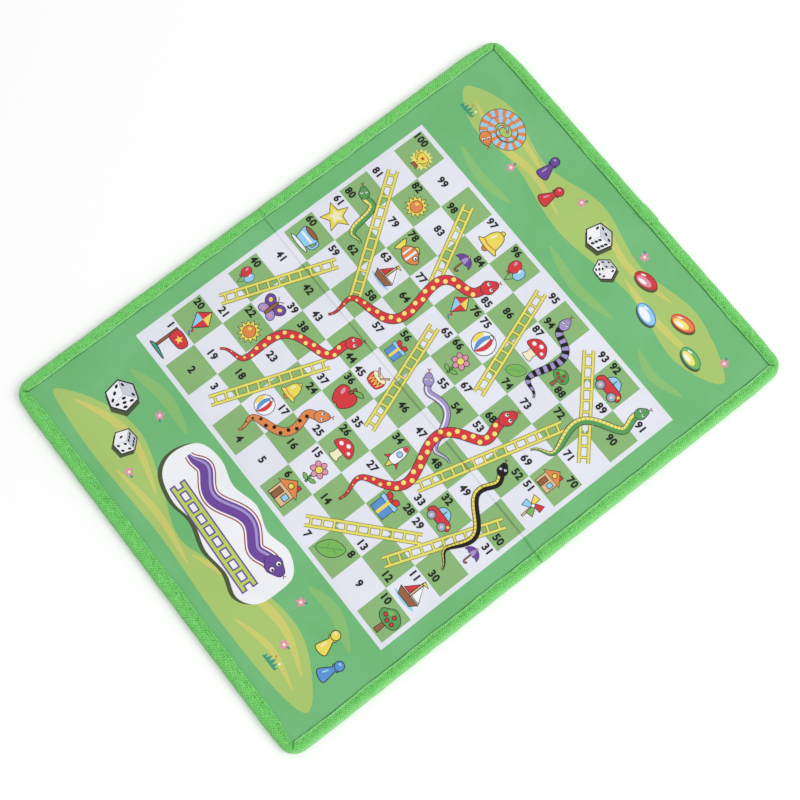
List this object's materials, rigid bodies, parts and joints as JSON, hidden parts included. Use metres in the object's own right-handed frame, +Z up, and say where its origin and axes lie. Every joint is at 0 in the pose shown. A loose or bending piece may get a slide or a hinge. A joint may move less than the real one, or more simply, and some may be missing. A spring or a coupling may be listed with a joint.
{
  "type": "snakes and ladders board",
  "caption": "Small folding snakes and ladders board: printed face and backing cloth over stiffeners, rim bound with sewn green tape, folding in half like a book.",
  "frame": {"origin": "middle of the underside of the open board, on the surface it lies on", "axes": "+X along the long edges towards the end with the tape lap, +Y across the board towards the far edge, +Z up out of the printed face"},
  "size_m": [0.2506, 0.186, 0.0047],
  "materials": {
    "printed_film": "printed paper under a clear satin film",
    "binding_tape": "non-woven polypropylene with a fine dotted emboss",
    "sewing_thread": "spun thread",
    "backing_cloth": "non-woven polypropylene with a fine dotted emboss",
    "stiffener_board": "plain grey paperboard"
  },
  "bodies": {
    "left_half": {"left_stiffener": "stiffener_board", "left_face_sheet": "printed_film", "left_back_cloth": "backing_cloth", "left_end_tape": "binding_tape", "left_far_tape": "binding_tape", "left_near_tape": "binding_tape", "left_end_top_thread": "sewing_thread", "left_far_top_thread": "sewing_thread", "left_near_top_thread": "sewing_thread", "left_end_bobbin_thread": "sewing_thread", "left_far_bobbin_thread": "sewing_thread", "left_near_bobbin_thread": "sewing_thread"},
    "right_half": {"right_stiffener": "stiffener_board", "right_face_sheet": "printed_film", "right_back_cloth": "backing_cloth", "right_end_tape": "binding_tape", "right_far_tape": "binding_tape", "right_near_tape": "binding_tape", "right_end_top_thread": "sewing_thread", "right_far_top_thread": "sewing_thread", "right_near_top_thread": "sewing_thread", "right_end_bobbin_thread": "sewing_thread", "right_far_bobbin_thread": "sewing_thread", "right_near_bobbin_thread": "sewing_thread", "right_tape_lap": "binding_tape"}
  },
  "joints": [
    {"name": "fold", "type": "hinge", "parent": "left_half", "child": "right_half", "pos_m": [0, 0, 0.00455], "axis": [0, -1, 0], "range_deg": [0, 179.5]}
  ]
}
